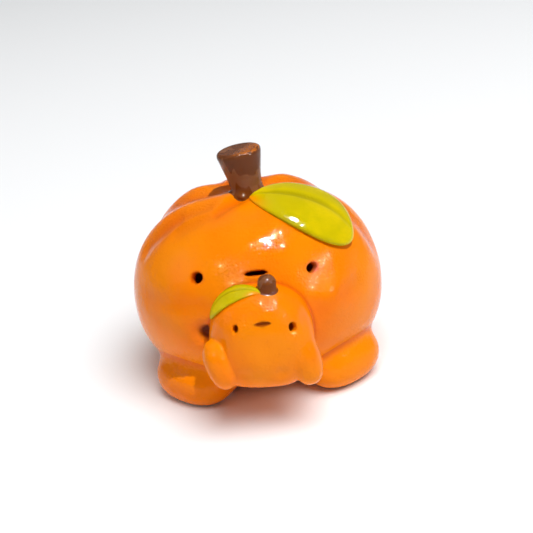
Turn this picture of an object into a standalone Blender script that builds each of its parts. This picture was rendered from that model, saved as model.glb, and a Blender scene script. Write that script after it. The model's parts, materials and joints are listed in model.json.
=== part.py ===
"""Ceramic pumpkin figure, modelled as its separate clay pieces.

A hollow pumpkin, pinched up by hand and open underneath, stands on its foot ring and on
two stubby feet. It has a stem and a leaf on top, two round eye holes and a mouth slot. A small
hollow pumpkin of the same design sits against its front, with its own stem, leaf and feet.
Neighbouring pieces follow each other's surface with a narrow gap between them.

Metres, +Z up. The face looks towards -Y, and the origin is on the ground under the middle of
the whole figure. A direction is given by its longitude, 0 at the face and positive towards +X,
and its latitude, 90 at the top, both in degrees.
"""

import math

import bmesh
import bpy
import numpy as np
from mathutils import Matrix, Vector

MM = 0.001
GAP = 0.3 * MM

# The parent's body.
BODY_CENTRE = Vector((0.0, 7.2 * MM, 35.5 * MM))
BODY_HALF_WIDTH = 45.2 * MM
BODY_HALF_DEPTH = 40.0 * MM
BODY_RISE = 36.8 * MM
BODY_DROP = 39.5 * MM
BODY_SQUARENESS = 2.05
BODY_WALL = 3.6 * MM
BASE_LATITUDE = -62.0
BELOW_GROUND = 3.0 * MM

# The child's body, tipped sideways about its own centre.
BABY_CENTRE = BODY_CENTRE + Vector((-0.4 * MM, -39.5 * MM, -4.6 * MM))
BABY_HALF_WIDTH = 18.0 * MM
BABY_HALF_DEPTH = 14.8 * MM
BABY_RISE = 20.4 * MM
BABY_DROP = 17.2 * MM
BABY_BASE_DEPTH = 15.0 * MM
BABY_SQUARENESS = 2.4
BABY_WALL = 3.0 * MM
BABY_BACK_WALL = 2.0 * MM
BABY_TIP = math.radians(4.5)
BABY_OPENING = (5.4, 3.3)
BABY_OPENING_PLACE = Vector((0.0, -3.8 * MM, -BABY_BASE_DEPTH))

# Holes through the walls: longitude, latitude, half width and half height in millimetres.
EYES = ((-32.5, 25.0, 1.8, 1.75), (31.5, 24.5, 2.1, 1.6))
MOUTH = (0.0, 28.0, 4.0, 0.75)
BABY_EYES = ((-38.0, 36.0, 0.95, 1.35), (42.0, 35.0, 1.5, 1.6))
BABY_MOUTH = (1.0, 46.5, 2.4, 0.6)
BABY_MOUTH_DEPTH = 1.0 * MM
PUNCH_SPARE = 3.0 * MM
HOLE_SQUARENESS = 2.4

# Stems: foot and top of the axis, the child's from its centre, and the turned profile's heights
# and radii in millimetres.
STEM_FOOT = BODY_CENTRE + Vector((0.4 * MM, -3.6 * MM, 32.0 * MM))
STEM_TOP = BODY_CENTRE + Vector((-1.9 * MM, -2.0 * MM, 51.5 * MM))
STEM_PROFILE = (
    (0.0, 7.4),
    (3.0, 6.2),
    (6.5, 5.9),
    (10.0, 6.3),
    (14.0, 7.1),
    (17.6, 7.9),
    (19.0, 7.6),
    (19.9, 5.2),
)
BABY_STEM_FOOT = Vector((2.0 * MM, -1.8 * MM, 15.6 * MM))
BABY_STEM_TOP = Vector((2.0 * MM, -1.6 * MM, 25.4 * MM))
BABY_STEM_PROFILE = ((0.0, 3.9), (2.5, 3.6), (4.5, 3.3), (7.6, 3.1), (9.2, 2.4), (9.9, 1.3))
CAP_RISE = 0.3

# Leaves, in degrees: the root, the two bends of the upper and of the lower edge, and the tip.
LEAF = ((4, 74), ((38, 81), (119, 42)), ((-10, 67), (38, 20)), (63, 26))
LEAF_THICKNESS = 3.2 * MM
BABY_LEAF = ((-2, 77), ((-60, 88), (-125, 46)), ((-34, 72), (-62, 38)), (-84, 29))
BABY_LEAF_THICKNESS = 1.9 * MM
LEAF_EDGE = 0.35
VEIN_DEPTH = 0.3

# Feet: centre from the ground, half sizes along, across and up, and turn about +Z in degrees.
FEET = {
    "left_foot": (Vector((-26.0 * MM, -13.0 * MM, 7.6 * MM)), (15.5, 10.5, 9.2), -40.0),
    "right_foot": (Vector((27.6 * MM, -11.6 * MM, 7.6 * MM)), (15.5, 10.5, 9.2), 38.0),
}
# The child's feet, from its centre, tipped with it.
BABY_FEET = {
    "baby_left_foot": (Vector((-14.4 * MM, -7.6 * MM, -4.8 * MM)), (5.0, 6.6, 9.2), -20.0),
    "baby_right_foot": (Vector((14.8 * MM, -7.2 * MM, -4.6 * MM)), (5.3, 6.4, 8.8), -14.0),
}
LOBE_SQUARENESS = 2.3

# Grooves pinched into the body, in degrees and millimetres: where each starts and ends, its half
# width and its depth.
CREASES = (
    ((-15, 71), (-52, 47), 4.5, 1.5),
    ((-50, 60), (-80, 31), 5.0, 1.6),
    ((-100, 72), (-108, 20), 9.0, 1.6),
    ((-150, 72), (-150, 10), 9.0, 1.8),
    ((165, 72), (165, 10), 9.0, 1.8),
    ((120, 72), (118, 10), 9.0, 1.6),
    ((80, 70), (88, 15), 8.0, 1.2),
)

# Swellings and dents of the hand-formed wall, in degrees and millimetres: longitude, latitude,
# radius and height.
SWELLS = (
    (35, 4, 18.0, 1.3),
    (-38, 5, 22.0, 0.8),
    (62, 18, 9.0, -0.9),
    (0, 45, 25.0, 0.8),
    (-35, 62, 16.0, 0.9),
    (-75, 50, 16.0, 0.6),
    (-128, 45, 22.0, 1.0),
    (180, 45, 24.0, 1.4),
    (80, -24, 22.0, 1.8),
    (-80, -24, 22.0, 1.6),
    (128, 45, 22.0, 1.0),
)

# The trough that crosses the top behind the stem.
TROUGH_CENTRE = Vector((0.0, 6.0 * MM))
TROUGH_HALF_LENGTH = 24.0 * MM
TROUGH_HALF_WIDTH = 7.0 * MM
TROUGH_DEPTH = 2.4 * MM

# Facets round and along each piece.
BODY_GRID = (56, 28, 14)
BABY_GRID = (40, 22)
BABY_HOLLOW_GRID = (24, 12)
STEM_SIDES = 24
BABY_STEM_SIDES = 16
LEAF_GRID = (22, 13)
BABY_LEAF_GRID = (16, 9)
FOOT_GRID = (26, 15)
BABY_FOOT_GRID = (20, 13)
HOLE_SIDES = 20


def direction(longitude, latitude):
    """Unit vectors for longitudes and latitudes in degrees, as an array with a last axis of 3."""
    lon, lat = np.broadcast_arrays(np.radians(longitude), np.radians(latitude))
    return np.stack([np.sin(lon) * np.cos(lat), -np.cos(lon) * np.cos(lat), np.sin(lat)], axis=-1)


def angle_to(directions, target):
    """Angle in degrees from each direction to one target direction."""
    return np.degrees(np.arccos(np.clip(directions @ target, -1.0, 1.0)))


def angle_to_arc(directions, start, end):
    """Angle in degrees from each direction to the great-circle arc between two directions."""
    side = np.cross(np.cross(start, end), start)
    side /= np.linalg.norm(side)
    length = math.acos(float(np.clip(start @ end, -1.0, 1.0)))
    along = np.clip(np.arctan2(directions @ side, directions @ start), 0.0, length)
    nearest = np.cos(along)[..., None] * start + np.sin(along)[..., None] * side
    return np.degrees(np.arccos(np.clip((directions * nearest).sum(-1), -1.0, 1.0)))


def rounded_radius(directions, half_width, half_depth, rise, drop, squareness):
    """Distance from the centre to an ellipsoid, or a squarer form of one above squareness 2."""
    height = np.where(directions[..., 2] > 0, rise, drop)
    axes = np.stack([np.full_like(height, half_width), np.full_like(height, half_depth), height], axis=-1)
    return (np.abs(directions / axes) ** squareness).sum(-1) ** (-1.0 / squareness)


def body_surface(directions):
    """Points of the parent's outer surface, from its centre, in the given directions."""
    radius = rounded_radius(
        directions, BODY_HALF_WIDTH, BODY_HALF_DEPTH, BODY_RISE, BODY_DROP, BODY_SQUARENESS
    )
    for start, end, width, depth in CREASES:
        angle = angle_to_arc(directions, direction(*start), direction(*end))
        radius = radius - depth * MM * np.exp(-((angle / width) ** 2))
    for longitude, latitude, width, height in SWELLS:
        angle = angle_to(directions, direction(longitude, latitude))
        radius = radius + height * MM * np.exp(-((angle / width) ** 2))
    points = directions * radius[..., None]
    across = (points[..., 0] - TROUGH_CENTRE.x) / TROUGH_HALF_LENGTH
    along = (points[..., 1] - TROUGH_CENTRE.y) / TROUGH_HALF_WIDTH
    trough = TROUGH_DEPTH * np.exp(-(across**2) - along**2) * (directions[..., 2] > 0)
    points[..., 2] -= trough
    return points


def baby_surface(directions, inset=0.0):
    """Points of the child's surface, from its centre, before it is tipped; inset for its inside."""
    sizes = (BABY_HALF_WIDTH, BABY_HALF_DEPTH, BABY_RISE, BABY_DROP)
    inner = [size - inset for size in sizes]
    points = directions * rounded_radius(directions, *inner, BABY_SQUARENESS)[..., None]
    points[..., 2] = np.maximum(points[..., 2], inset - BABY_BASE_DEPTH)
    return points


def baby_inside(directions):
    """Points of the child's inner surface."""
    return baby_surface(directions, BABY_WALL)


def grid_directions(segments, rings, lowest):
    """Directions of a longitude and latitude grid, from near the top down to the lowest latitude."""
    longitudes = np.arange(segments) * 360.0 / segments
    latitudes = 90.0 - (90.0 - lowest) * (np.arange(rings) + 1) / rings
    return direction(longitudes[None, :], latitudes[:, None])


def add_rows(bm, rows):
    """Vertices for an array of rows of points."""
    return [[bm.verts.new(point) for point in row] for row in rows]


def join_rows(bm, rows, flip=False):
    """Quads between consecutive closed rows of vertices."""
    for upper, lower in zip(rows, rows[1:]):
        for i, corner in enumerate(upper):
            j = (i + 1) % len(upper)
            corners = [corner, lower[i], lower[j], upper[j]]
            bm.faces.new(corners[::-1] if flip else corners)


def close_row(bm, row, tip, flip=False):
    """A fan of triangles from a closed row of vertices to one point."""
    point = bm.verts.new(tip)
    for i, corner in enumerate(row):
        corners = [point, corner, row[(i + 1) % len(row)]]
        bm.faces.new(corners[::-1] if flip else corners)


def finished_mesh(name, bm):
    """A smooth-shaded mesh from the bmesh, with its faces pointing out."""
    bmesh.ops.recalc_face_normals(bm, faces=bm.faces)
    mesh = bpy.data.meshes.new(name)
    bm.to_mesh(mesh)
    bm.free()
    mesh.shade_smooth()
    mesh.set_sharp_from_angle(angle=math.radians(50))
    return mesh


def material(name, colour, roughness):
    """A glazed ceramic finish, shared by the pieces that have it."""
    made = bpy.data.materials.get(name) or bpy.data.materials.new(name)
    made.use_nodes = True
    shader = made.node_tree.nodes["Principled BSDF"]
    shader.inputs["Base Color"].default_value = (*colour, 1.0)
    shader.inputs["Roughness"].default_value = roughness
    shader.inputs["Metallic"].default_value = 0.0
    return made


def orange_glaze():
    return material("orange_glaze", (0.98, 0.24, 0.0), 0.15)


def green_glaze():
    return material("green_glaze", (0.66, 0.50, 0.0), 0.15)


def brown_glaze():
    return material("brown_glaze", (0.16, 0.05, 0.02), 0.2)


def surface_normals(surface, directions):
    """Outward unit normals of a surface, from short steps to each side of every direction."""
    step = math.radians(0.5)
    pole = np.abs(directions[..., 2:]) > 0.99
    helper = np.where(pole, np.array([1.0, 0.0, 0.0]), np.array([0.0, 0.0, 1.0]))
    east = np.cross(helper, directions)
    east /= np.linalg.norm(east, axis=-1, keepdims=True)
    north = np.cross(directions, east)
    spans = []
    for side in (east, north):
        ahead = directions + step * side
        behind = directions - step * side
        ahead /= np.linalg.norm(ahead, axis=-1, keepdims=True)
        behind /= np.linalg.norm(behind, axis=-1, keepdims=True)
        spans.append(surface(ahead) - surface(behind))
    normals = np.cross(spans[0], spans[1])
    return normals / np.linalg.norm(normals, axis=-1, keepdims=True)


def raised(surface, directions, height):
    """Points that stand a height above a surface; the height may differ from point to point."""
    lift = np.broadcast_to(height, directions.shape[:-1])[..., None]
    return surface(directions) + surface_normals(surface, directions) * lift


def closed_skin(name, surface, segments, rings, height=0.0):
    """A closed solid that stands a height above a surface all round."""
    bm = bmesh.new()
    directions = grid_directions(segments, rings, -90.0 + 180.0 / (rings + 1))
    rows = add_rows(bm, raised(surface, directions, height))
    join_rows(bm, rows)
    up = raised(surface, direction(0.0, 90.0)[None, :], height)[0]
    down = raised(surface, direction(0.0, -90.0)[None, :], height)[0]
    close_row(bm, rows[0], up)
    close_row(bm, rows[-1], down, flip=True)
    return finished_mesh(name, bm)


def body_shell_mesh():
    """The parent's wall: outside, foot ring and inside, open underneath."""
    segments, outer_rings, inner_rings = BODY_GRID
    ground = -BODY_CENTRE.z
    outer = body_surface(grid_directions(segments, outer_rings, BASE_LATITUDE))
    outer[..., 2] = np.maximum(outer[..., 2], ground)
    outer[-1, :, 2] = ground
    inner = raised(body_surface, grid_directions(segments, inner_rings, BASE_LATITUDE), -BODY_WALL)
    ring = outer[-1].copy()
    radius = np.linalg.norm(ring[:, :2], axis=-1, keepdims=True)
    ring[:, :2] *= 1.0 - BODY_WALL / radius
    bm = bmesh.new()
    outer_rows = add_rows(bm, outer)
    inner_rows = add_rows(bm, np.concatenate([inner[:-1], ring[None]]))
    join_rows(bm, outer_rows)
    join_rows(bm, inner_rows, flip=True)
    join_rows(bm, [outer_rows[-1], inner_rows[-1]])
    top = direction(0.0, 90.0)[None, :]
    close_row(bm, outer_rows[0], body_surface(top)[0])
    close_row(bm, inner_rows[0], raised(body_surface, top, -BODY_WALL)[0], flip=True)
    return finished_mesh("body_shell", bm)


def body_clearance_mesh(name, height):
    """The parent's outside as a solid, raised by a height and carried on below the ground."""
    segments, outer_rings, _ = BODY_GRID
    rows = raised(body_surface, grid_directions(segments, outer_rings, BASE_LATITUDE), height)
    below = rows[-1].copy()
    below[:, 2] = -BODY_CENTRE.z - BELOW_GROUND
    bm = bmesh.new()
    made = add_rows(bm, np.concatenate([rows, below[None]]))
    join_rows(bm, made)
    close_row(bm, made[0], raised(body_surface, direction(0.0, 90.0)[None, :], height)[0])
    close_row(bm, made[-1], below.mean(axis=0), flip=True)
    return finished_mesh(name, bm)


def turned_mesh(name, profile, segments, swell=0.0):
    """A turned solid about +Z from (height, radius) pairs in millimetres, made wider by swell."""
    bm = bmesh.new()
    angles = np.arange(segments) * 2.0 * math.pi / segments
    rows = []
    for height, radius in profile:
        reach = radius * MM + swell
        rows.append([(reach * math.cos(a), reach * math.sin(a), height * MM) for a in angles])
    made = add_rows(bm, rows[::-1])
    join_rows(bm, made)
    close_row(bm, made[0], (0.0, 0.0, (profile[-1][0] + CAP_RISE) * MM + swell))
    close_row(bm, made[-1], (0.0, 0.0, profile[0][0] * MM), flip=True)
    return finished_mesh(name, bm)


def blob_mesh(name, half_sizes, segments, rings, floor=None):
    """A soft pillow-like lobe, flattened at a floor height below its centre."""

    def surface(directions):
        scaled = np.abs(directions / (np.array(half_sizes) * MM)) ** LOBE_SQUARENESS
        return directions * (scaled.sum(-1) ** (-1.0 / LOBE_SQUARENESS))[..., None]

    bm = bmesh.new()
    points = surface(grid_directions(segments, rings, -90.0 + 180.0 / (rings + 1)))
    tip = np.array([0.0, 0.0, -half_sizes[2] * MM])
    if floor is not None:
        points[..., 2] = np.maximum(points[..., 2], floor)
        tip[2] = max(tip[2], floor)
    rows = add_rows(bm, points)
    join_rows(bm, rows)
    close_row(bm, rows[0], (0.0, 0.0, half_sizes[2] * MM))
    close_row(bm, rows[-1], tip, flip=True)
    return finished_mesh(name, bm)


def leaf_edge(root, bends, tip, along):
    """Directions of one edge of a leaf, a cubic curve from its root to its tip."""
    corners = [direction(*point) for point in (root, *bends, tip)]
    shares = ((1 - along) ** 3, 3 * (1 - along) ** 2 * along, 3 * (1 - along) * along**2, along**3)
    return sum(share * corner for share, corner in zip(shares, corners))


def leaf_mesh(name, surface, shape, thickness, rows, columns):
    """A leaf laid on a surface: rounded edges, a sunken middle vein and a blunt tip."""
    root, upper_bends, lower_bends, tip = shape
    along = (0.5 - 0.5 * np.cos(np.linspace(0.4, math.pi - 0.35, rows)))[:, None]
    across = np.sin(np.linspace(-math.pi / 2, math.pi / 2, columns))
    upper = leaf_edge(root, upper_bends, tip, along)[:, None]
    lower = leaf_edge(root, lower_bends, tip, along)[:, None]
    share = (0.5 + 0.5 * across)[None, :, None]
    spread = share * upper + (1 - share) * lower
    spread /= np.linalg.norm(spread, axis=-1, keepdims=True)
    crown = LEAF_EDGE + (1 - LEAF_EDGE) * np.sqrt(1 - across**4)
    vein = VEIN_DEPTH * np.exp(-((across / 0.14) ** 2)) * np.sin(math.pi * along) ** 0.5
    height = GAP + thickness * (crown[None, :] - vein)
    top = raised(surface, spread, height)
    bottom = raised(surface, spread, GAP)
    bm = bmesh.new()
    rings = add_rows(bm, np.concatenate([top, bottom[:, ::-1]], axis=1))
    join_rows(bm, rings)
    bm.faces.new(rings[0])
    bm.faces.new(rings[-1][::-1])
    return finished_mesh(name, bm)


def punch_mesh(name, half_width, half_height, depth):
    """A punch along Z through the origin, with the outline of a rounded slot or an oval."""
    angles = np.arange(HOLE_SIDES) * 2.0 * math.pi / HOLE_SIDES
    power = 2.0 / HOLE_SQUARENESS
    across = half_width * MM * np.sign(np.cos(angles)) * np.abs(np.cos(angles)) ** power
    up = half_height * MM * np.sign(np.sin(angles)) * np.abs(np.sin(angles)) ** power
    outline = np.stack([across, up], axis=-1)
    rows = [np.column_stack([outline, np.full(HOLE_SIDES, z)]) for z in (depth, -depth)]
    bm = bmesh.new()
    made = add_rows(bm, rows)
    join_rows(bm, made)
    bm.faces.new(made[0])
    bm.faces.new(made[1][::-1])
    return finished_mesh(name, bm)


def facing(surface, longitude, latitude):
    """The frame of a surface point: X level across the surface, Z out of it."""
    towards = direction(longitude, latitude)[None, :]
    out = Vector(surface_normals(surface, towards)[0])
    across = Vector((0.0, 0.0, 1.0)).cross(out).normalized()
    turn = Matrix((across, out.cross(across), out)).transposed().to_4x4()
    return Matrix.Translation(Vector(surface(towards)[0])) @ turn


def along_axis(foot, top):
    """The frame of a turned piece that stands on foot and points to top."""
    return Matrix.Translation(foot) @ (top - foot).to_track_quat("Z", "Y").to_matrix().to_4x4()


def empty(name, place, parent=None):
    """A named frame that pieces are placed in."""
    made = bpy.data.objects.new(name, None)
    made.parent = parent
    made.matrix_basis = place
    bpy.context.scene.collection.objects.link(made)
    return made


def placed(name, mesh, parent, place=None, finish=None):
    """An object in its parent's frame: a visible piece if it has a finish, or else a hidden cutter."""
    made = bpy.data.objects.new(name, mesh)
    made.parent = parent
    made.matrix_basis = place or Matrix.Identity(4)
    bpy.context.scene.collection.objects.link(made)
    if finish:
        made.data.materials.append(finish)
    else:
        made.hide_render = True
        made.display_type = "WIRE"
    return made


def combine(target, tool, operation):
    """Adds one exact Boolean to the target."""
    boolean = target.modifiers.new(tool.name, "BOOLEAN")
    boolean.operation = operation
    boolean.solver = "EXACT"
    boolean.object = tool


def cut(target, *tools):
    """Cuts the shape of each tool out of the target."""
    for tool in tools:
        combine(target, tool, "DIFFERENCE")


def punch(target, surface, parent, name, mark, depth):
    """Cuts one eye or mouth into the target."""
    longitude, latitude, half_width, half_height = mark
    mesh = punch_mesh(name, half_width, half_height, depth)
    cut(target, placed(name, mesh, parent, facing(surface, longitude, latitude)))


def build_parent(figure):
    """The parent pumpkin's pieces. Returns its clearance solid, which the child is cut with."""
    body = empty("body_frame", Matrix.Translation(BODY_CENTRE), figure)
    clearance = placed("body_clearance", body_clearance_mesh("body_clearance", GAP), body)
    shell = placed("body_shell", body_shell_mesh(), body, finish=orange_glaze())
    for i, eye in enumerate(EYES):
        punch(shell, body_surface, body, f"eye_punch_{i}", eye, BODY_WALL + PUNCH_SPARE)
    punch(shell, body_surface, body, "mouth_punch", MOUTH, BODY_WALL + PUNCH_SPARE)
    stem_place = along_axis(STEM_FOOT, STEM_TOP)
    stem_mesh = turned_mesh("body_stem", STEM_PROFILE, STEM_SIDES)
    stem = placed("body_stem", stem_mesh, figure, stem_place, brown_glaze())
    cut(stem, clearance)
    wide_stem = turned_mesh("stem_clearance", STEM_PROFILE, STEM_SIDES, GAP)
    stem_clearance = placed("stem_clearance", wide_stem, figure, stem_place)
    leaf = leaf_mesh("body_leaf", body_surface, LEAF, LEAF_THICKNESS, *LEAF_GRID)
    cut(placed("body_leaf", leaf, body, finish=green_glaze()), stem_clearance)
    for name, (centre, half_sizes, turn) in FEET.items():
        lobe = blob_mesh(name, half_sizes, *FOOT_GRID, floor=-centre.z)
        place = Matrix.Translation(centre) @ Matrix.Rotation(math.radians(turn), 4, "Z")
        cut(placed(name, lobe, figure, place, orange_glaze()), clearance)
    return clearance


def build_child(figure, body_clearance):
    """The child pumpkin's pieces, all tipped with it and cut clear of the parent."""
    tip = Matrix.Rotation(BABY_TIP, 4, "Y")
    child = empty("baby_frame", Matrix.Translation(BABY_CENTRE) @ tip, figure)
    skin = closed_skin("baby_clearance", baby_surface, *BABY_GRID, GAP)
    clearance = placed("baby_clearance", skin, child)
    solid = closed_skin("baby_shell", baby_surface, *BABY_GRID)
    shell = placed("baby_shell", solid, child, finish=orange_glaze())
    backing_mesh = body_clearance_mesh("baby_backing", GAP + BABY_BACK_WALL)
    backing = placed("baby_backing", backing_mesh, figure, Matrix.Translation(BODY_CENTRE))
    hollow_mesh = closed_skin("baby_hollow", baby_inside, *BABY_HOLLOW_GRID)
    hollow = placed("baby_hollow", hollow_mesh, child)
    opening_mesh = punch_mesh("baby_opening", *BABY_OPENING, BABY_BASE_DEPTH / 2)
    opening = placed("baby_opening", opening_mesh, child, Matrix.Translation(BABY_OPENING_PLACE))
    combine(hollow, opening, "UNION")
    cut(hollow, backing)
    cut(shell, body_clearance, hollow)
    for i, eye in enumerate(BABY_EYES):
        punch(shell, baby_surface, child, f"baby_eye_punch_{i}", eye, BABY_WALL + PUNCH_SPARE)
    punch(shell, baby_surface, child, "baby_mouth_punch", BABY_MOUTH, BABY_MOUTH_DEPTH)
    stem_place = along_axis(BABY_STEM_FOOT, BABY_STEM_TOP)
    stem_mesh = turned_mesh("baby_stem", BABY_STEM_PROFILE, BABY_STEM_SIDES)
    stem = placed("baby_stem", stem_mesh, child, stem_place, brown_glaze())
    cut(stem, clearance, body_clearance)
    wide_stem = turned_mesh("baby_stem_clearance", BABY_STEM_PROFILE, BABY_STEM_SIDES, GAP)
    stem_clearance = placed("baby_stem_clearance", wide_stem, child, stem_place)
    leaf = leaf_mesh(
        "baby_leaf", baby_surface, BABY_LEAF, BABY_LEAF_THICKNESS, *BABY_LEAF_GRID
    )
    cut(placed("baby_leaf", leaf, child, finish=green_glaze()), stem_clearance, body_clearance)
    for name, (centre, half_sizes, turn) in BABY_FEET.items():
        lobe = blob_mesh(name, half_sizes, *BABY_FOOT_GRID)
        place = Matrix.Translation(centre) @ Matrix.Rotation(math.radians(turn), 4, "Y")
        cut(placed(name, lobe, child, place, orange_glaze()), clearance, body_clearance)


def main():
    for old in list(bpy.data.objects):
        bpy.data.objects.remove(old)
    figure = empty("pumpkin_figure", Matrix.Identity(4))
    body_clearance = build_parent(figure)
    build_child(figure, body_clearance)


main()
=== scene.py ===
"""Looks of the ceramic pumpkin figure: hand-formed clay under a thick, glossy glaze.

Each clay piece is a closed mesh of its own. The rounded pieces are drawn from distance fields
that follow the CAD solids and add what hands and a kiln add: rounded rims, soft fillets where
pieces were luted together, ribs, creases and dents. The leaves are drawn in rows between two edge
curves. Fields and shapes are in millimetres, and meshes, lights and camera in metres, +Z up.
"""

import json
import math

import bpy
import numpy as np
import openvdb
from mathutils import Matrix, Vector

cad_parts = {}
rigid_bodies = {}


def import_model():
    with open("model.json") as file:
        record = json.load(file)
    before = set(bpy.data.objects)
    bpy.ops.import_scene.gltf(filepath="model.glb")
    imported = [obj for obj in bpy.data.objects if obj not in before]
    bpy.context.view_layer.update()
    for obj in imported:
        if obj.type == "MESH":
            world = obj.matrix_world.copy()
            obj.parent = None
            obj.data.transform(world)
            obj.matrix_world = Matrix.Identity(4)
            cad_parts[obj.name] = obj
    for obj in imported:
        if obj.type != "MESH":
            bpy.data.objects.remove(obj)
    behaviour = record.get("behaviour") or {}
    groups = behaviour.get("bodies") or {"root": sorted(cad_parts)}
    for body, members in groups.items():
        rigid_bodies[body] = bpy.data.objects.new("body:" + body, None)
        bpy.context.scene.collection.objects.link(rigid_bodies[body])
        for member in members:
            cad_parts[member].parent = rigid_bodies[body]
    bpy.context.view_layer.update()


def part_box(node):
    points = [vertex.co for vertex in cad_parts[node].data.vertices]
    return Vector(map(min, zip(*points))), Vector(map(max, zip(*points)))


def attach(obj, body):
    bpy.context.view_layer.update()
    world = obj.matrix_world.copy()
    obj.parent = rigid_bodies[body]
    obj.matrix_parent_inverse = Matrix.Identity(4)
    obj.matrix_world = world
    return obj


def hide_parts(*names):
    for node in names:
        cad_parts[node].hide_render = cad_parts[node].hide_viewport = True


MM = 0.001

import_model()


def box_mm(node):
    """Lowest and highest corner of a CAD node, in millimetres."""
    low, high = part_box(node)
    return np.array(low) / MM, np.array(high) / MM


# ---------------------------------------------------------------- driving sizes, in millimetres

# Shares of the CAD box: how high the body's centre lies, its half width and its half depth.
CENTRE_SHARE = 0.492
WIDTH_SHARE = 0.4947
DEPTH_SHARE = 0.4994

BODY_LOW, BODY_HIGH = box_mm("body_shell")
BODY_CENTRE = np.array([0.0, (BODY_LOW[1] + BODY_HIGH[1]) / 2, CENTRE_SHARE * BODY_HIGH[2]])
BODY_HALF_WIDTH = WIDTH_SHARE * (BODY_HIGH[0] - BODY_LOW[0])
BODY_HALF_DEPTH = DEPTH_SHARE * (BODY_HIGH[1] - BODY_LOW[1])
BODY_RISE = 36.8
BODY_DROP = 39.5
BODY_SQUARENESS = 2.05
BODY_WALL = 3.6
BASE_ROUNDING = 1.4

# The round opening underneath, which leads up into the hollow.
WELL_RADIUS = 15.4
WELL_TOP_ROUNDING = 2.0
WELL_FILLET = 3.0
WELL_EDGE_ROUNDING = 1.0

# How square an outline is: 2 is an ellipse or an ellipsoid.
ROUND = 2.0
EYE_SQUARENESS = 2.2
LOBE_SQUARENESS = 2.3

# Share of its plain distance that the body's field keeps, since its dents make it steeper.
BODY_FIELD_SHARE = 0.97

# Valleys between the ribs, in degrees and millimetres: start, end, half width and depth.
VALLEYS = (
    ((-14, 73), (-36, 59), 4.0, 1.5),
    ((-36, 59), (-60, 44), 5.5, 1.0),
    ((-52, 62), (-70, 48), 5.0, 1.1),
    ((-70, 48), (-80, 27), 6.0, 1.5),
    ((-100, 72), (-108, 20), 9.0, 1.6),
    ((-150, 72), (-150, 10), 9.0, 1.8),
    ((165, 72), (165, 10), 9.0, 1.8),
    ((120, 72), (118, 10), 9.0, 1.6),
    ((80, 70), (84, 15), 7.0, 1.3),
    ((-28, 12), (-62, 8), 5.0, 0.6),
    ((30, 6), (54, 9), 5.0, 0.7),
)

# The crevice beside the small pumpkin's head, dented and darkened with a painted shadow: longitude
# and latitude.
CREVICE = (-27.5, -2.5)

# Swellings and dents, in degrees and millimetres: longitude, latitude, spread and height.
SWELLS = (
    (35, 4, 18.0, 1.0),
    (34, 19, 8.0, -1.2),
    (36, 7, 8.0, 1.6),
    (-38, 5, 22.0, 0.8),
    (-42, 1, 9.0, 0.4),
    (62, 18, 9.0, -0.9),
    (*CREVICE, 5.5, -3.2),
    (0, 45, 25.0, 0.8),
    (-35, 62, 16.0, 0.9),
    (-75, 50, 16.0, 0.6),
    (-128, 45, 22.0, 1.0),
    (180, 45, 24.0, 1.4),
    (80, -24, 22.0, 1.8),
    (-80, -24, 22.0, 1.6),
    (128, 45, 22.0, 1.0),
)

# The trough that crosses the top behind the stem, from the body's centre. Its depth fades out
# over the last few millimetres down to the height of that centre.
TROUGH_CENTRE = (0.0, 6.0)
TROUGH_HALF_LENGTH = 24.0
TROUGH_HALF_WIDTH = 6.0
TROUGH_DEPTH = 3.2
TROUGH_FADE = 8.0

# Holes: longitude, latitude, half width, half height and turn in degrees. The eyes and the big
# mouth are pushed in this many walls deep.
EYES = ((-32.8, 25.0, 2.1, 1.95, 0.0), (31.5, 24.5, 2.1, 1.6, 14.0))
MOUTH = (0.0, 28.0, 4.1, 0.8, 1.0)
HOLE_ROUNDING = 0.45
HOLE_WALLS_DEEP = 2.5

# The small pumpkin. A level base and a tilted chin flatten it underneath.
BABY_LOW, BABY_HIGH = box_mm("baby_shell")
BABY_HALF = (18.0, 14.8)
BABY_RISE = 20.4
BABY_DROP = 17.2
BABY_CENTRE = BODY_CENTRE + np.array([-0.4, -39.5, -4.6])
BABY_BASE_DEPTH = 15.0
BABY_BASE_ROUNDING = 2.0
BABY_CHIN_DEPTH = 16.0
BABY_CHIN_TILT = math.radians(20.0)
BABY_SQUARENESS = 2.4
BABY_WALL = 3.0
BABY_BACK_WALL = 2.0
BABY_FILLET = 0.8
BABY_TIP = 4.5
BABY_TURN = np.array(Matrix.Rotation(math.radians(BABY_TIP), 3, "Y"))
BABY_EYES = ((-38.0, 36.0, 0.95, 1.35, 0.0), (42.0, 35.0, 1.5, 1.6, 0.0))
BABY_MOUTH = (0.0, 45.5, 2.4, 0.55, 0.0)
BABY_MOUTH_DEPTH = 0.9
BABY_EYE_ROUNDING = 0.6
BABY_MOUTH_ROUNDING = 0.5

# Swellings and dents of the small pumpkin, as for the big one.
BABY_SWELLS = (
    (60, 6, 16.0, 1.1),
    (64, 34, 12.0, -0.7),
    (-56, 16, 11.0, -0.9),
    (-12, -2, 16.0, 0.6),
    (24, -20, 9.0, -0.7),
    (-26, -22, 9.0, -0.5),
    (2, 20, 12.0, -0.4),
)

# The opening under the small pumpkin: half sizes and centre, in its own frame.
BABY_OPENING = (5.4, 3.3)
BABY_OPENING_CENTRE = (0.0, -3.8)

# How far the small pumpkin's stem and feet stay clear of the big pumpkin.
BABY_CLEARANCE = 0.1

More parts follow.
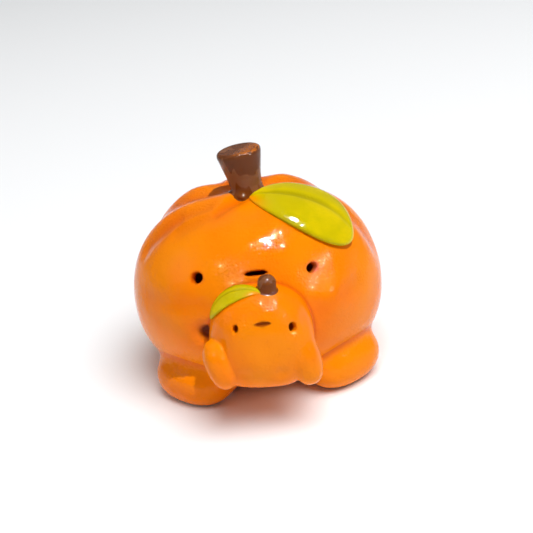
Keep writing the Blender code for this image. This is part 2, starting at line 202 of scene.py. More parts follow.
# Stems: foot and top from the pumpkin's centre, heights along the stem, and its radii there.
STEM_TILT = ((0.4, -3.6, 32.0), (-1.9, -2.0, 51.5))
STEM_HEIGHTS = (0.0, 3.0, 6.5, 10.0, 14.0, 17.6, 19.5)
STEM_RADII = (7.2, 6.0, 5.7, 6.2, 7.1, 7.9, 8.1)
STEM_ROUNDING = 1.8
STEM_FILLET = 1.2
BABY_STEM_TILT = ((2.0, -1.8, 15.6), (2.0, -1.6, 25.4))
BABY_STEM_HEIGHTS = (0.0, 2.5, 4.5, 7.6, 9.8)
BABY_STEM_RADII = (3.5, 3.4, 3.3, 3.1, 2.3)
BABY_STEM_ROUNDING = 2.4

# Smears of clay at the big stem's foot: longitude, latitude and half sizes.
STEM_TOES = ((-16, 77.0, (1.5, 2.4, 0.9)), (48, 76.0, (5.0, 1.8, 1.2)))
STEM_TOE_FILLET = 1.5

# How far up the big stem's runs of colour the small one's top comes.
BABY_STEM_SHARE = 0.9

# Leaves, in degrees: the root, the two bends of the upper and of the lower edge, and the tip.
LEAF = ((4, 74), ((38, 81), (119, 42)), ((-10, 67), (38, 20)), (63, 26))
BABY_LEAF = ((-2, 77), ((-60, 88), (-125, 46)), ((-34, 72), (-62, 38)), (-84, 29))

# A leaf's section. The lip and the vein's depth are shares of its thickness, and the places across
# it run from -1 at the lower edge to 1 at the upper one. The stretch ends the vein before the tip.
LEAF_THICKNESS = 3.4
BABY_LEAF_THICKNESS = 1.9
LEAF_SINK = 0.35
LEAF_LIP = 0.36
LEAF_UNDERCUT = 0.08
VEIN_SHARE = 0.3
VEIN_PLACE = 0.1
VEIN_HALF_WIDTH = 0.1
VEIN_STRETCH = 1.12

# Where the leaf's glaze is thin: below this place across it, and up to this share along it.
THIN_ACROSS = 0.35
THIN_ALONG = 0.45

# Rows along a leaf and points round it, and how far in the first and last rows are.
LEAF_GRID = (140, 84)
BABY_LEAF_GRID = (80, 48)
LEAF_END = 0.08

# Feet of the big pumpkin: place and turn in degrees.
FOOT_HALF = (15.5, 10.5, 9.2)
FEET = {"left_foot": ((-26.0, -13.0, 7.6), -40.0), "right_foot": ((27.6, -11.6, 8.4), 38.0)}
FOOT_FILLET = 5.0
SOLE_ROUNDING = 1.0

# Feet of the small pumpkin, in its own frame: place, half sizes, turn in degrees and fillet.
BABY_FEET = {
    "baby_left_foot": ((-14.4, -7.6, -4.8), (5.0, 6.6, 9.2), -20.0, 1.2),
    "baby_right_foot": ((14.8, -7.2, -4.6), (5.3, 6.4, 8.8), -14.0, 1.6),
}

# The skirt of a luted piece: how far it sinks, how deep it goes, and its width in fillets.
SKIRT_SINK = 0.03
SKIRT_DEPTH = 0.6
SKIRT_WIDTH = 1.2

# Spacing of the meshes. The big pumpkin's is coarser behind the knee.
BODY_STEP = 0.75
BODY_BACK_STEP = 1.3
BODY_KNEE = 5.0
FOOT_STEP = 0.5
BABY_STEP = 0.4
BABY_FOOT_STEP = 0.35
STEM_STEP = 0.35

# In steps of a mesh: the room round its box, and the furthest that a point is pulled.
GRID_MARGIN = 1.5
FURTHEST_PULL = 0.7

# Steps that bring a point onto the small pumpkin's skin.
SURFACE_STEPS = 12

# Room left round a CAD box for its piece's fillets.
FOOT_ROOM = 3
BABY_ROOM = 2
STEM_ROOM_BELOW = 4
STEM_ROOM_ABOVE = 1

# Redder glaze, pooled in the valleys and painted shade at joins and in the holes: the valley depth
# that is full of it, and its reach and strength at joins and edges.
FULL_VALLEY = 2.2
JOIN_SHADE_REACH = 1.0
BABY_JOIN_SHADE_REACH = 0.8
FOOT_POOL_AND_SHADE = 0.8
FOOT_POOL_AND_SHADE_REACH = 1.2
HOLE_SHADE_REACH = 0.45
BABY_FOOT_POOL_AND_SHADE = 0.6
BABY_FOOT_POOL_AND_SHADE_REACH = 0.7

# Brown glaze: its reach and depth at the small mouth. Painted shadow: its radius and fade in the
# crevice, both in degrees.
PAINT_REACH = 0.5
PAINT_DEPTH = 2.0
CREVICE_SHADOW_RADIUS = 3.0
CREVICE_SHADOW_FADE = 1.6

# Glaze colours, linear.
ORANGE = (0.96, 0.215, 0.0)
ORANGE_WARM = (0.95, 0.25, 0.0)
# Redder orange of speckles and pooled glaze, also used as painted shade at joins and in holes.
ORANGE_POOL_AND_SHADE = (0.68, 0.085, 0.0)
MOUTH_PAINT = (0.36, 0.07, 0.002)
# Painted shadow of the small pumpkin in the crevice.
CREVICE_SHADOW_BROWN = (0.13, 0.018, 0.001)
BARE_CLAY = (0.58, 0.42, 0.28)
LEAF_YELLOW = (0.70, 0.53, 0.0)
LEAF_GREEN = (0.56, 0.45, 0.0)
LEAF_OLIVE = (0.33, 0.27, 0.0)
LEAF_ROOT = (0.85, 0.28, 0.0)
STEM_LOW = (0.17, 0.042, 0.004)
# A lighter brown band, partly glaze and partly painted reflection of the pale surroundings.
STEM_MIDDLE = (0.22, 0.078, 0.03)
STEM_DARK = (0.145, 0.042, 0.012)
STEM_COPPER = (0.46, 0.12, 0.01)

# Mottling and relief of the glazes, in waves a metre.
CLOUDS = 45.0
SPECKLES = 900.0
SMEARS = 220.0
WAVES = 150.0
PEEL = 1250.0
PEEL_PATCHES = 75.0
LEAF_CLOUDS = 80.0
LEAF_SMEARS = 260.0
STREAKS = 400.0
STEM_WAVES = 260.0
RUNS = 170.0
GRIT = 1100.0

# Depths of relief, and the heights where wiped glaze starts and is whole, in metres.
WAVE_DEPTH = 0.00026
STEM_WAVE_DEPTH = 0.0003
PEEL_DEPTH = 0.0002
LEAF_PEEL_DEPTH = 0.00015
GRIT_DEPTH = 0.0003
WIPED = (0.0003, 0.0009)

# The noise levels between which a mottle turns from one look into the other.
BROAD = (0.3, 0.7)
NARROW = (0.35, 0.65)
GLAZE_IOR = 1.22

# Camera, in metres and degrees, with its sensor in millimetres.
CAMERA_TILT = 26.0
CAMERA_ROLL = 6.0
CAMERA_DISTANCE = 0.45
SENSOR_WIDTH = 36.0
VIEW_WIDTH = 0.1972
AIM_RIGHT = 0.0035
AIM_UP = 0.0036

# Disc lights: direction along the camera's right, up and back, distance, size and power in watts.
KEY_DIRECTION = (0.249, 0.688, 0.681)
LIGHTS = {
    "key": (KEY_DIRECTION, 1.5, 0.03, 19.5),
    "sparkle": (KEY_DIRECTION, 1.5, 0.02, 170.0),
    "glint_0": ((-0.3, 0.25, 0.92), 1.5, 0.018, 40.0),
    "glint_1": ((0.80, 0.12, 0.58), 1.5, 0.018, 40.0),
    "wide_key": (KEY_DIRECTION, 1.5, 1.3, 30.0),
    "overhead": ((-0.2, 0.95, 0.1), 1.2, 0.9, 0.9),
    "side": ((-0.9, 0.35, 0.35), 1.3, 0.7, 1.3),
}
# Lights that only show as highlights on the glaze.
HIGHLIGHTS = ("sparkle", "glint_0", "glint_1")
ROOM_LIGHT = 0.23
FLOOR_RADIUS = 3.0
FLOOR_SIDES = 64
FLOOR_COLOUR = (0.84, 0.85, 0.86)

# The value of a field far outside it, and a length that keeps a division away from zero.
FAR_OUTSIDE = 100.0
TINY = 1e-6


# ---------------------------------------------------------------- directions and blends


def direction(longitude, latitude):
    """Unit vectors for degrees of longitude (0 at the face, positive towards +X) and latitude."""
    lon, lat = np.broadcast_arrays(np.radians(longitude), np.radians(latitude))
    return np.stack([np.sin(lon) * np.cos(lat), -np.cos(lon) * np.cos(lat), np.sin(lat)], axis=-1)


def angle_to(directions, target):
    """Angle in degrees from each direction to one target."""
    return np.degrees(np.arccos(np.clip(directions @ target, -1.0, 1.0)))


def angle_to_arc(directions, start, end):
    """Angle in degrees from each direction to the arc between two directions."""
    side = np.cross(np.cross(start, end), start)
    side /= np.linalg.norm(side)
    length = math.acos(float(np.clip(start @ end, -1.0, 1.0)))
    along = np.clip(np.arctan2(directions @ side, directions @ start), 0.0, length)
    nearest = np.cos(along)[..., None] * start + np.sin(along)[..., None] * side
    return np.degrees(np.arccos(np.clip((directions * nearest).sum(-1), -1.0, 1.0)))


def smooth_min(a, b, reach):
    """The lower of two fields, blended where they are within reach of each other."""
    share = np.clip(0.5 + 0.5 * (b - a) / reach, 0.0, 1.0)
    return b * (1 - share) + a * share - reach * share * (1 - share)


def smooth_max(a, b, reach):
    """The higher of two fields, blended where they are within reach of each other."""
    return -smooth_min(-a, -b, reach)


def turned(points, degrees, axis):
    """Points turned backwards about an axis, which places a field turned by that much."""
    turn = np.array(Matrix.Rotation(math.radians(-degrees), 3, axis))
    return points @ turn.T


def rounded_box_reach(points, half_sizes, squareness):
    """About how far each point is outside an ellipsoid, or a squarer form of one."""
    scaled = (np.abs(points / half_sizes) ** squareness).sum(-1) ** (1.0 / squareness)
    reach = np.linalg.norm(points, axis=-1)
    return reach * (1.0 - 1.0 / np.maximum(scaled, TINY))


# ---------------------------------------------------------------- the big pumpkin


def valley_depth(directions):
    """Depth in millimetres of the pinched valleys in each direction."""
    depth = np.zeros(directions.shape[:-1])
    for start, end, width, deepest in VALLEYS:
        angle = angle_to_arc(directions, direction(*start), direction(*end))
        depth = np.maximum(depth, deepest * np.exp(-((angle / width) ** 2)))
    return depth


def body_radius(directions):
    """Distance from the body's centre to its skin in each direction."""
    rise = np.where(directions[..., 2] > 0, BODY_RISE, BODY_DROP)
    width, depth = np.full_like(rise, BODY_HALF_WIDTH), np.full_like(rise, BODY_HALF_DEPTH)
    axes = np.stack([width, depth, rise], axis=-1)
    scaled = (np.abs(directions / axes) ** BODY_SQUARENESS).sum(-1)
    radius = scaled ** (-1.0 / BODY_SQUARENESS) - valley_depth(directions)
    for longitude, latitude, spread, height in SWELLS:
        angle = angle_to(directions, direction(longitude, latitude))
        radius += height * np.exp(-((angle / spread) ** 2))
    return radius


def trough_drop(offsets):
    """How far the trough behind the stem lowers the skin at each offset from the centre."""
    across = (offsets[..., 0] - TROUGH_CENTRE[0]) / TROUGH_HALF_LENGTH
    along = (offsets[..., 1] - TROUGH_CENTRE[1]) / TROUGH_HALF_WIDTH
    above = np.clip(offsets[..., 2] / TROUGH_FADE, 0.0, 1.0)
    return TROUGH_DEPTH * np.exp(-(across**2) - along**2) * above


def body_skin(points):
    """Distance above the big pumpkin's outer skin, negative below it."""
    offsets = points - BODY_CENTRE
    offsets[..., 2] += trough_drop(offsets)
    reach = np.linalg.norm(offsets, axis=-1)
    directions = offsets / np.maximum(reach, TINY)[..., None]
    return BODY_FIELD_SHARE * (reach - body_radius(directions))


def body_surface(directions):
    """Points of the big pumpkin's outer skin in the given directions from its centre."""
    offsets = directions * body_radius(directions)[..., None]
    offsets[..., 2] -= trough_drop(offsets)
    return offsets + BODY_CENTRE


def body_spot(longitude, latitude):
    """One point of the big pumpkin's outer skin."""
    return body_surface(direction(longitude, latitude)[None, :])[0]


def hole_field(points, field, centre, mark, squareness, depth):
    """Distance outside a hole pushed into a skin, no deeper than the given depth."""
    half_width, half_height, turn = mark
    out = slopes(field, centre[None, :])[0]
    across = np.cross([0.0, 0.0, 1.0], out)
    across /= np.linalg.norm(across)
    up = np.cross(out, across)
    offsets = points - centre
    flat = np.stack([offsets @ across, offsets @ up], axis=-1)
    c, s = math.cos(math.radians(turn)), math.sin(math.radians(turn))
    flat = flat @ np.array([[c, -s], [s, c]])
    outline = rounded_box_reach(flat, (half_width, half_height), squareness)
    return np.maximum(outline, -(offsets @ out) - depth)


def body_hole(points, mark, squareness):
    """Distance outside one eye or mouth of the big pumpkin."""
    longitude, latitude, *shape = mark
    centre = body_spot(longitude, latitude)
    return hole_field(points, body_skin, centre, shape, squareness, HOLE_WALLS_DEEP * BODY_WALL)


def body_shell(points):
    """The big pumpkin's wall: hollow, open underneath, with eyes and a mouth."""
    skin = body_skin(points)
    well = np.linalg.norm(points[..., :2] - BODY_CENTRE[:2], axis=-1) - WELL_RADIUS
    well = smooth_max(well, points[..., 2] - BODY_CENTRE[2], WELL_TOP_ROUNDING)
    hollow = smooth_min(skin + BODY_WALL, well, WELL_FILLET)
    shell = smooth_max(skin, -hollow, WELL_EDGE_ROUNDING)
    for eye in EYES:
        shell = smooth_max(shell, -body_hole(points, eye, EYE_SQUARENESS), HOLE_ROUNDING)
    shell = smooth_max(shell, -body_hole(points, MOUTH, ROUND), HOLE_ROUNDING)
    return smooth_max(shell, -points[..., 2], BASE_ROUNDING)


# ---------------------------------------------------------------- stems and feet


def rod_field(points, foot, top, heights, radii, rounding):
    """Distance outside a turned rod that stands on foot and points to top."""
    axis = (top - foot) / np.linalg.norm(top - foot)
    offsets = points - foot
    along = offsets @ axis
    across = np.linalg.norm(offsets - along[..., None] * axis, axis=-1)
    side = across - np.interp(along, heights, radii)
    return smooth_max(side, np.maximum(along - heights[-1], -along), rounding)


def luted(piece, skin, fillet):
    """A piece luted onto a skin: blended into it, with a thin skirt sunk just under it."""
    joined = smooth_min(piece, skin + SKIRT_SINK, fillet)
    kept = np.maximum(joined, -(skin + SKIRT_DEPTH))
    return np.maximum(kept, piece - SKIRT_WIDTH * fillet)


def body_stem(points):
    """The thick stem, flared and smeared onto the crown of the big pumpkin."""
    foot, top = (np.array(end) + BODY_CENTRE for end in STEM_TILT)
    rod = rod_field(points, foot, top, STEM_HEIGHTS, STEM_RADII, STEM_ROUNDING)
    for longitude, latitude, half_sizes in STEM_TOES:
        toe = rounded_box_reach(points - body_spot(longitude, latitude), half_sizes, ROUND)
        rod = smooth_min(rod, toe, STEM_TOE_FILLET)
    return luted(rod, body_skin(points), STEM_FILLET)


def foot_lobe(points, centre, turn):
    """Distance outside the plain lobe that one foot of the big pumpkin is made from."""
    offsets = turned(points - np.array(centre), turn, "Z")
    return rounded_box_reach(offsets, np.array(FOOT_HALF), LOBE_SQUARENESS)


def body_foot(points, centre, turn):
    """One stubby foot of the big pumpkin, flat on the ground."""
    foot = luted(foot_lobe(points, centre, turn), body_skin(points), FOOT_FILLET)
    return smooth_max(foot, -points[..., 2], SOLE_ROUNDING)


# ---------------------------------------------------------------- the small pumpkin


def in_baby(points):
    """Points from the small pumpkin's centre, in its own tipped frame."""
    return (points - BABY_CENTRE) @ BABY_TURN


def from_baby(offsets):
    """Places given in the small pumpkin's frame, in the figure's own."""
    return np.array(offsets) @ BABY_TURN.T + BABY_CENTRE


def baby_solid(offsets):
    """Distance above the small pumpkin's skin, from offsets in its own frame."""
    rise = np.where(offsets[..., 2] > 0, BABY_RISE, BABY_DROP)
    flat = np.abs(offsets[..., :2] / np.array(BABY_HALF)) ** BABY_SQUARENESS
    scaled = flat.sum(-1) + np.abs(offsets[..., 2] / rise) ** BABY_SQUARENESS
    reach = np.linalg.norm(offsets, axis=-1)
    dome = reach * (1.0 - 1.0 / np.maximum(scaled ** (1.0 / BABY_SQUARENESS), TINY))
    directions = offsets / np.maximum(reach, TINY)[..., None]
    for longitude, latitude, spread, height in BABY_SWELLS:
        angle = angle_to(directions, direction(longitude, latitude))
        dome = dome - height * np.exp(-((angle / spread) ** 2))
    sunk = offsets[..., 1] * math.sin(BABY_CHIN_TILT) + offsets[..., 2] * math.cos(BABY_CHIN_TILT)
    base = np.maximum(-offsets[..., 2] - BABY_BASE_DEPTH, -sunk - BABY_CHIN_DEPTH)
    return smooth_max(dome, base, BABY_BASE_ROUNDING)


def baby_skin(points):
    """Distance above the small pumpkin's outer skin, negative below it."""
    return baby_solid(in_baby(points))


def baby_surface(directions):
    """Points of the small pumpkin's skin in the given directions in its own frame."""
    reach = np.full(directions.shape[:-1], BABY_RISE)
    for _ in range(SURFACE_STEPS):
        reach = reach - baby_solid(directions * reach[..., None])
    return from_baby(directions * reach[..., None])


def baby_hole(points, mark, squareness, depth):
    """Distance outside one eye or mouth of the small pumpkin."""
    longitude, latitude, *shape = mark
    centre = baby_surface(direction(longitude, latitude)[None, :])[0]
    return hole_field(points, baby_skin, centre, shape, squareness, depth)


def baby_shell(points):
    """The small pumpkin's wall, pressed onto the big one, with eyes, a mouth and an opening."""
    mother = body_skin(points)
    skin = baby_skin(points)
    offsets = in_baby(points)
    flat = offsets[..., :2] - np.array(BABY_OPENING_CENTRE)
    opening = rounded_box_reach(flat, BABY_OPENING, BABY_SQUARENESS)
    opening = np.maximum(opening, offsets[..., 2])
    hollow = smooth_min(skin + BABY_WALL, opening, BABY_FILLET)
    hollow = np.maximum(hollow, BABY_BACK_WALL - mother)
    shell = smooth_max(luted(skin, mother, BABY_FILLET), -hollow, BABY_FILLET)
    for eye in BABY_EYES:
        hole = baby_hole(points, eye, EYE_SQUARENESS, HOLE_WALLS_DEEP * BABY_WALL)
        shell = smooth_max(shell, -hole, BABY_EYE_ROUNDING)
    mouth = baby_hole(points, BABY_MOUTH, ROUND, BABY_MOUTH_DEPTH)
    return smooth_max(shell, -mouth, BABY_MOUTH_ROUNDING)


def baby_stem(points):
    """The small pumpkin's rounded stem."""
    foot, top = from_baby(BABY_STEM_TILT)
    rod = rod_field(points, foot, top, BABY_STEM_HEIGHTS, BABY_STEM_RADII, BABY_STEM_ROUNDING)
    stem = luted(rod, baby_skin(points), BABY_FILLET)
    return np.maximum(stem, BABY_CLEARANCE - body_skin(points))


def baby_lobe(points, centre, half_sizes, turn):
    """Distance outside the plain lobe that one foot of the small pumpkin is made from."""
    offsets = turned(in_baby(points) - np.array(centre), turn, "Y")
    return rounded_box_reach(offsets, np.array(half_sizes), LOBE_SQUARENESS)


def baby_foot(points, centre, half_sizes, turn, fillet):
    """One foot of the small pumpkin, smoothed into its belly."""
    lobe = baby_lobe(points, centre, half_sizes, turn)
    foot = luted(lobe, baby_skin(points), fillet)
    return np.maximum(foot, BABY_CLEARANCE - body_skin(points))


# ---------------------------------------------------------------- meshes from fields


def slopes(field, points, step=0.05):
    """Unit normals of a field at points, from short steps to each side."""
    found = np.empty_like(points)
    for axis in range(3):
        ahead, behind = points.copy(), points.copy()
        ahead[:, axis] += step
        behind[:, axis] -= step
        found[:, axis] = (field(ahead) - field(behind)) / (2 * step)
    return found / np.maximum(np.linalg.norm(found, axis=-1, keepdims=True), TINY)


def pulled_on(field, points, furthest):
    """Points moved onto a field's zero surface, in two steps along its slope."""
    for _ in range(2):
        move = np.clip(field(points), -furthest, furthest)
        points = points - slopes(field, points) * move[:, None]
    return points


def grid_lines(low, high, fine, coarse, knee):
    """Grid positions along an axis, finely spaced up to the knee and coarser beyond it."""
    near = np.arange(low, min(knee, high), fine)
    far = np.arange(near[-1] + coarse, high + coarse, coarse)
    return np.concatenate([near, far])


def skinned(field, low, high, step, back_step=None, knee=None):
    """Points and quads of a field's zero surface inside a box, coarser behind the knee if any."""
    margin = GRID_MARGIN * step
    step = step
    lines = [np.arange(l - margin, h + margin + step, step) for l, h in zip(low, high)]
    if back_step:
        lines[1] = grid_lines(low[1] - margin, high[1] + margin, step, back_step, knee)
    grid = np.stack(np.meshgrid(*lines, indexing="ij"), axis=-1)
    values = np.concatenate([field(slab) for slab in grid]).reshape(grid.shape[:-1])
    volume = openvdb.FloatGrid(FAR_OUTSIDE)
    volume.copyFromArray(values.astype(np.float32))
    places, quads = volume.convertToQuads(0.0)
    axes = [np.interp(places[:, i], np.arange(len(line)), line) for i, line in enumerate(lines)]
    points = pulled_on(field, np.stack(axes, axis=-1), FURTHEST_PULL * step)
    return points, facing_out(points, quads)


def facing_out(points, quads):
    """The quads, turned over if they enclose a negative volume."""
    corners = points[quads[:, :3]]
    volume = np.einsum("ij,ij->i", corners[:, 0], np.cross(corners[:, 1], corners[:, 2])).sum()
    return quads[:, ::-1] if volume < 0 else quads


# ---------------------------------------------------------------- pieces


def closeness(distance, reach):
    """1 where a distance is zero or less, falling to 0 well beyond the given reach."""
    return np.exp(-((np.maximum(distance, 0.0) / reach) ** 2))


def add_piece(node, slot, finish, points, faces, **marks):
    """Adds a smooth mesh object that stands for a CAD node, with its marks as point attributes."""
    mesh = bpy.data.meshes.new(node + "_clay")
    mesh.from_pydata(points * MM, [], faces)
    for name, values in marks.items():
        layer = mesh.attributes.new(name, "FLOAT", "POINT")
        layer.data.foreach_set("value", values.astype(np.float32))
    mesh.shade_smooth()
    mesh.materials.append(finish)
    piece = bpy.data.objects.new(node + "_clay", mesh)
    bpy.context.scene.collection.objects.link(piece)
    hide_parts(node)
    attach(piece, "root")


def build_body(finish):
    """The big pumpkin's wall."""
    points, quads = skinned(
        body_shell, BODY_LOW, BODY_HIGH, BODY_STEP, BODY_BACK_STEP, BODY_KNEE,
    )
    offsets = points - BODY_CENTRE
    directions = offsets / np.linalg.norm(offsets, axis=-1, keepdims=True)
    # Pooled glaze in the valleys; painted shade near the small pumpkin, the feet and inside the eyes
    # and mouth.
    pool = np.clip(valley_depth(directions) / FULL_VALLEY, 0.0, 1.0)
    pool = np.maximum(pool, closeness(baby_skin(points), JOIN_SHADE_REACH))
    for foot in FEET.values():
        near_foot = closeness(foot_lobe(points, *foot), FOOT_POOL_AND_SHADE_REACH)
        pool = np.maximum(pool, FOOT_POOL_AND_SHADE * near_foot)
    for mark in (*EYES, MOUTH):
        near_hole = closeness(body_hole(points, mark, EYE_SQUARENESS), HOLE_SHADE_REACH)
        pool = np.maximum(pool, near_hole)
    # Painted shadow in the crevice beside the small pumpkin's head.
    apart = angle_to(directions, direction(*CREVICE))
    dark = closeness(apart - CREVICE_SHADOW_RADIUS, CREVICE_SHADOW_FADE)
    add_piece("body_shell", "orange_glaze", finish, points, quads, pool=pool, dark=dark)


def build_feet(finish):
    """The big pumpkin's two feet."""
    for node, foot in FEET.items():
        low, high = box_mm(node)
        low, high = low - FOOT_ROOM, high + FOOT_ROOM
        points, quads = skinned(lambda p: body_foot(p, *foot), low, high, FOOT_STEP)
        # Painted shade where the foot meets the big pumpkin.
        pool = FOOT_POOL_AND_SHADE * closeness(body_skin(points), JOIN_SHADE_REACH)
        add_piece(node, "orange_glaze", finish, points, quads, pool=pool)


def build_baby(finish):
    """The small pumpkin's wall."""
    low, high = BABY_LOW - BABY_ROOM, BABY_HIGH + BABY_ROOM
    points, quads = skinned(baby_shell, low, high, BABY_STEP)
    paint = closeness(baby_hole(points, BABY_MOUTH, ROUND, PAINT_DEPTH), PAINT_REACH)
    # Painted shade where it meets the big pumpkin and its own feet.
    pool = closeness(body_skin(points), BABY_JOIN_SHADE_REACH)
    for *lobe, fillet in BABY_FEET.values():
        near_foot = closeness(baby_lobe(points, *lobe), BABY_FOOT_POOL_AND_SHADE_REACH)
        pool = np.maximum(pool, BABY_FOOT_POOL_AND_SHADE / fillet * near_foot)
    add_piece("baby_shell", "orange_glaze", finish, points, quads, pool=pool, paint=paint)


def build_baby_feet(finish):
    """The small pumpkin's two feet."""
    for node, foot in BABY_FEET.items():
        low, high = box_mm(node)
        low, high = low - FOOT_ROOM, high + FOOT_ROOM
        points, quads = skinned(lambda p: baby_foot(p, *foot), low, high, BABY_FOOT_STEP)
        # Painted shade where the foot meets the big pumpkin.
        pool = closeness(body_skin(points), BABY_JOIN_SHADE_REACH)
        add_piece(node, "orange_glaze", finish, points, quads, pool=pool)


def build_stems(finish):
    """Both stems, marked with how high up each point is. Only the big one has a rough top."""
    stems = (("body_stem", body_stem, 1.0), ("baby_stem", baby_stem, BABY_STEM_SHARE))
    for node, field, share in stems:
        low, high = box_mm(node)
        points, quads = skinned(field, low - STEM_ROOM_BELOW, high + STEM_ROOM_ABOVE, STEM_STEP)
        height = share * (points[:, 2] - low[2]) / (high[2] - low[2])
        add_piece(node, "brown_glaze", finish, points, quads, height=height)


def leaf_edge(root, bends, tip, along):
    """Directions of one edge of a leaf, a cubic curve from its root to its tip."""
    corners = [direction(*point) for point in (root, *bends, tip)]
    shares = ((1 - along) ** 3, 3 * (1 - along) ** 2 * along, 3 * (1 - along) * along**2, along**3)
    return sum(share * corner for share, corner in zip(shares, corners))


def leaf_section(along, around, thickness):
    """Place across and height of each point round a leaf, and how deep in its groove it is."""
    above = np.clip(np.sin(around), 0.0, 1.0)
    below = np.clip(-np.sin(around), 0.0, 1.0)
    across = np.cos(around) * (1.0 - LEAF_UNDERCUT * below)
    # Full soon after the root, and thin only close to the tip.
    body = (1 - (1 - along) ** 2.2) ** 0.8 * (1 - along**5) ** 0.4
    lip = LEAF_LIP * thickness * body
    crown = lip + (thickness * body - lip) * above**0.65
    under = lip - (lip + LEAF_SINK) * below**0.5
    upper = np.sin(around) > 0
    swell = np.sin(math.pi * np.clip(along * VEIN_STRETCH, 0.0, 1.0))
    fade = np.clip(swell, 0.0, 1.0) ** 0.5
    groove = np.exp(-(((across - VEIN_PLACE) / VEIN_HALF_WIDTH) ** 2)) * fade * upper
    return across, np.where(upper, crown, under) - VEIN_SHARE * thickness * groove, groove


def capped_tube(rows, columns):
    """Faces of a tube of closed rings, with a fan at each end round one more point."""
    faces = []
    for row in range(rows - 1):
        for i in range(columns):
            j = (i + 1) % columns
            below, above = row * columns, (row + 1) * columns
            faces.append((below + i, below + j, above + j, above + i))
    first, last, top_ring = rows * columns, rows * columns + 1, (rows - 1) * columns
    for i in range(columns):
        j = (i + 1) % columns
        faces.append((first, j, i))
        faces.append((last, top_ring + i, top_ring + j))
    return faces


def build_leaf(node, finish, surface, skin, shape, thickness, grid):
    """A leaf pressed onto a skin, with a rounded lip all round and a sunken vein."""
    rows, columns = grid
    root, upper_bends, lower_bends, tip = shape
    spread = np.linspace(LEAF_END, math.pi - LEAF_END, rows)
    along = (0.5 - 0.5 * np.cos(spread))[:, None]
    around = np.linspace(0.0, 2 * math.pi, columns, endpoint=False)[None, :]
    across, height, groove = leaf_section(along, around, thickness)
    upper = leaf_edge(root, upper_bends, tip, along)[:, None]
    lower = leaf_edge(root, lower_bends, tip, along)[:, None]
    share = 0.5 + 0.5 * across[..., None]
    feet = surface((share * upper + (1 - share) * lower).reshape(-1, 3))
    points = feet + slopes(skin, feet) * height.reshape(-1, 1)
    ends = points.reshape(rows, columns, 3)[[0, -1]].mean(axis=1)
    points = np.concatenate([points, ends])
    near_root = np.clip(1.0 - along / THIN_ALONG, 0.0, 1.0)
    thin = np.clip(THIN_ACROSS - across, 0.0, 1.0) * near_root
    rim = np.broadcast_to(np.abs(across), thin.shape)
    marks = {"groove": groove, "rim": rim, "thin": thin}
    marks = {name: np.append(mark.ravel(), mark[[0, -1], 0]) for name, mark in marks.items()}
    add_piece(node, "green_glaze", finish, points, capped_tube(rows, columns), **marks)


def build_leaves(finish):
    """The leaves of both pumpkins."""
    big = (body_surface, body_skin, LEAF, LEAF_THICKNESS, LEAF_GRID)
    small = (baby_surface, baby_skin, BABY_LEAF, BABY_LEAF_THICKNESS, BABY_LEAF_GRID)
    build_leaf("body_leaf", finish, *big)
    build_leaf("baby_leaf", finish, *small)


# ---------------------------------------------------------------- glazes


